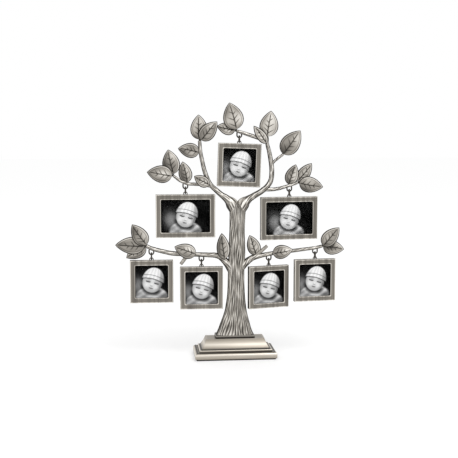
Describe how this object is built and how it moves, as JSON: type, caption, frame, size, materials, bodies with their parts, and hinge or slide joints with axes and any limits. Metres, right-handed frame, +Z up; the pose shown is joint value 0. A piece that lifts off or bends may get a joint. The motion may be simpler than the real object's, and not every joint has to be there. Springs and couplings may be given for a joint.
{
  "type": "photo tree stand",
  "caption": "Standing family tree cast in antique pewter finish: leafy branches on a stepped plinth, with small square and oblong picture frames hung from them on links.",
  "frame": {"origin": "centre of the underside of the felt, where the stand rests", "axes": "+Z up, +Y to the back, +X to the right as the frames are looked at"},
  "size_m": [0.2304, 0.042, 0.2545],
  "materials": {
    "cast_metal": "antique pewter, dark in the grooves and rubbed bright on the ridges",
    "frame_metal": "brushed pewter",
    "wire": "dark pewter",
    "screw_steel": "zinc plated",
    "pane_glass": "clear",
    "print_paper": "matt print",
    "back_board": "matt black",
    "felt": "black felt"
  },
  "bodies": {
    "tree": {"base_plinth": "cast_metal", "base_felt": "felt", "foot_screws": "screw_steel", "trunk": "cast_metal", "left_lower_bough": "cast_metal", "right_lower_bough": "cast_metal", "left_limb": "cast_metal", "right_limb": "cast_metal", "top_twig": "cast_metal", "left_middle_twig": "cast_metal", "right_middle_twig": "cast_metal", "right_upper_twig": "cast_metal", "branch_eyelets": "wire", "crown_left_leaves": "cast_metal", "crown_top_leaves": "cast_metal", "crown_right_leaves": "cast_metal", "left_middle_leaves": "cast_metal", "right_middle_leaves": "cast_metal", "left_lower_leaves": "cast_metal", "right_lower_leaves": "cast_metal"},
    "top_link": {"top_link": "wire"},
    "top_frame": {"top_frame": "frame_metal", "top_pane": "pane_glass", "top_picture": "print_paper"},
    "top_back": {"top_back": "back_board"},
    "upper_left_link": {"upper_left_link": "wire"},
    "upper_left_frame": {"upper_left_frame": "frame_metal", "upper_left_pane": "pane_glass", "upper_left_picture": "print_paper"},
    "upper_left_back": {"upper_left_back": "back_board"},
    "upper_right_link": {"upper_right_link": "wire"},
    "upper_right_frame": {"upper_right_frame": "frame_metal", "upper_right_pane": "pane_glass", "upper_right_picture": "print_paper"},
    "upper_right_back": {"upper_right_back": "back_board"},
    "outer_left_link": {"outer_left_link": "wire"},
    "outer_left_frame": {"outer_left_frame": "frame_metal", "outer_left_pane": "pane_glass", "outer_left_picture": "print_paper"},
    "outer_left_back": {"outer_left_back": "back_board"},
    "inner_left_link": {"inner_left_link": "wire"},
    "inner_left_frame": {"inner_left_frame": "frame_metal", "inner_left_pane": "pane_glass", "inner_left_picture": "print_paper"},
    "inner_left_back": {"inner_left_back": "back_board"},
    "inner_right_link": {"inner_right_link": "wire"},
    "inner_right_frame": {"inner_right_frame": "frame_metal", "inner_right_pane": "pane_glass", "inner_right_picture": "print_paper"},
    "inner_right_back": {"inner_right_back": "back_board"},
    "outer_right_link": {"outer_right_link": "wire"},
    "outer_right_frame": {"outer_right_frame": "frame_metal", "outer_right_pane": "pane_glass", "outer_right_picture": "print_paper"},
    "outer_right_back": {"outer_right_back": "back_board"}
  },
  "joints": [
    {"name": "top_swing", "type": "hinge", "parent": "tree", "child": "top_link", "pos_m": [0.00462, 0, 0.22029], "axis": [1, 0, 0], "range_deg": [-14, 60]},
    {"name": "top_sway", "type": "hinge", "parent": "top_link", "child": "top_frame", "pos_m": [0.00462, 0, 0.21569], "axis": [0, 1, 0], "range_deg": [-1, 2]},
    {"name": "top_back_pull", "type": "slide", "parent": "top_frame", "child": "top_back", "axis": [0, 1, 0], "range_m": [0, 0.01]},
    {"name": "upper_left_swing", "type": "hinge", "parent": "tree", "child": "upper_left_link", "pos_m": [-0.049, 0, 0.16996], "axis": [1, 0, 0], "range_deg": [-60, 60]},
    {"name": "upper_left_sway", "type": "hinge", "parent": "upper_left_link", "child": "upper_left_frame", "pos_m": [-0.049, 0, 0.16536], "axis": [0, 1, 0], "range_deg": [-3, 6]},
    {"name": "upper_left_back_pull", "type": "slide", "parent": "upper_left_frame", "child": "upper_left_back", "axis": [0, 1, 0], "range_m": [0, 0.01]},
    {"name": "upper_right_swing", "type": "hinge", "parent": "tree", "child": "upper_right_link", "pos_m": [0.055, 0, 0.16683], "axis": [1, 0, 0], "range_deg": [-60, 60]},
    {"name": "upper_right_sway", "type": "hinge", "parent": "upper_right_link", "child": "upper_right_frame", "pos_m": [0.055, 0, 0.16223], "axis": [0, 1, 0], "range_deg": [-6, 4]},
    {"name": "upper_right_back_pull", "type": "slide", "parent": "upper_right_frame", "child": "upper_right_back", "axis": [-0.1392, 0.9903, 0], "range_m": [0, 0.01]},
    {"name": "outer_left_swing", "type": "hinge", "parent": "tree", "child": "outer_left_link", "pos_m": [-0.08312, 0, 0.10462], "axis": [1, 0, 0], "range_deg": [-60, 6]},
    {"name": "outer_left_sway", "type": "hinge", "parent": "outer_left_link", "child": "outer_left_frame", "pos_m": [-0.08312, 0, 0.10002], "axis": [0, 1, 0], "range_deg": [-5, 2]},
    {"name": "outer_left_back_pull", "type": "slide", "parent": "outer_left_frame", "child": "outer_left_back", "axis": [0, 1, 0], "range_m": [0, 0.01]},
    {"name": "inner_left_swing", "type": "hinge", "parent": "tree", "child": "inner_left_link", "pos_m": [-0.03332, 0, 0.09737], "axis": [1, 0, 0], "range_deg": [-60, 60]},
    {"name": "inner_left_sway", "type": "hinge", "parent": "inner_left_link", "child": "inner_left_frame", "pos_m": [-0.03332, 0, 0.09277], "axis": [0, 1, 0], "range_deg": [-2, 5]},
    {"name": "inner_left_back_pull", "type": "slide", "parent": "inner_left_frame", "child": "inner_left_back", "axis": [0, 1, 0], "range_m": [0, 0.01]},
    {"name": "inner_right_swing", "type": "hinge", "parent": "tree", "child": "inner_right_link", "pos_m": [0.03458, 0, 0.0973], "axis": [1, 0, 0], "range_deg": [-60, 60]},
    {"name": "inner_right_sway", "type": "hinge", "parent": "inner_right_link", "child": "inner_right_frame", "pos_m": [0.03458, 0, 0.0927], "axis": [0, 1, 0], "range_deg": [-3, 1]},
    {"name": "inner_right_back_pull", "type": "slide", "parent": "inner_right_frame", "child": "inner_right_back", "axis": [-0.2419, 0.9703, 0], "range_m": [0, 0.01]},
    {"name": "outer_right_swing", "type": "hinge", "parent": "tree", "child": "outer_right_link", "pos_m": [0.08178, 0, 0.10352], "axis": [1, 0, 0], "range_deg": [-60, 60]},
    {"name": "outer_right_sway", "type": "hinge", "parent": "outer_right_link", "child": "outer_right_frame", "pos_m": [0.08178, 0, 0.09892], "axis": [0, 1, 0], "range_deg": [-6, 3]},
    {"name": "outer_right_back_pull", "type": "slide", "parent": "outer_right_frame", "child": "outer_right_back", "axis": [-0.1045, 0.9945, 0], "range_m": [0, 0.01]}
  ]
}
